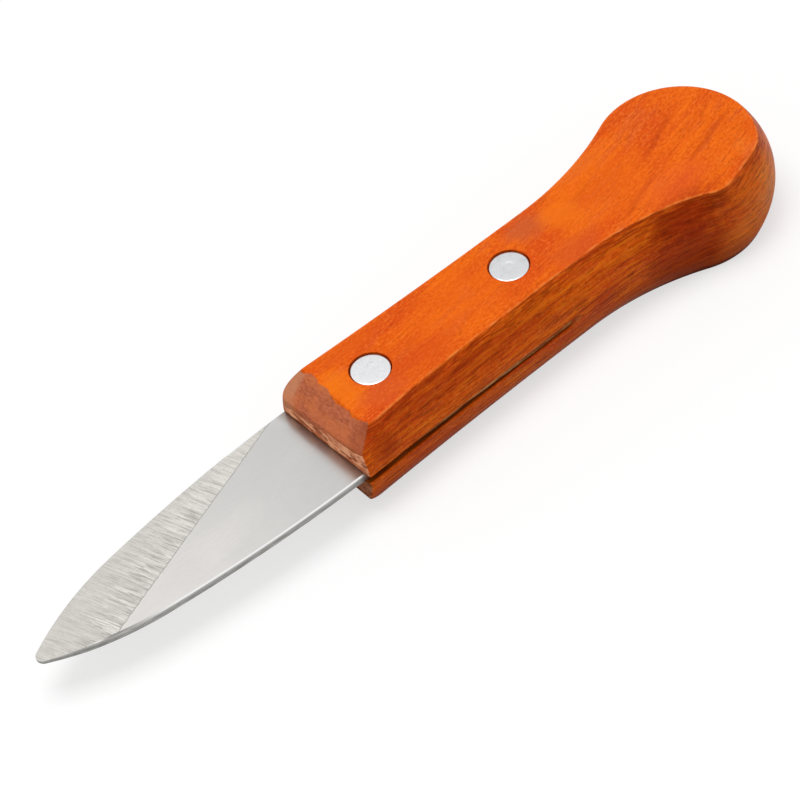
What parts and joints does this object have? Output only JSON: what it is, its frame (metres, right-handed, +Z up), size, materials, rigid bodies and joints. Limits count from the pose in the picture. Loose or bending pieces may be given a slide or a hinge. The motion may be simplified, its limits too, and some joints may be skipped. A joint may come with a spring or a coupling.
{
  "type": "oyster knife",
  "caption": "Oyster knife with a short leaf-shaped steel blade, one edge ground, riveted into a flat-sided wooden handle with a round bulb at its butt.",
  "frame": {"origin": "bottom centre of the whole knife as it lies on the lower flat face of its handle", "axes": "+X from the blade's tip towards the butt, +Z up through the flat faces of the handle, ground edge towards +Y"},
  "size_m": [0.16, 0.032, 0.0182],
  "materials": {
    "handle_wood": "oiled hardwood, satin, orange-red",
    "blade_steel": "satin steel with a coarsely ground edge",
    "rivet_metal": "bright, lightly brushed"
  },
  "bodies": {
    "root": {"handle": "handle_wood", "blade": "blade_steel", "front_rivet_post": "rivet_metal", "front_rivet_socket": "rivet_metal", "rear_rivet_post": "rivet_metal", "rear_rivet_socket": "rivet_metal"}
  },
  "joints": []
}
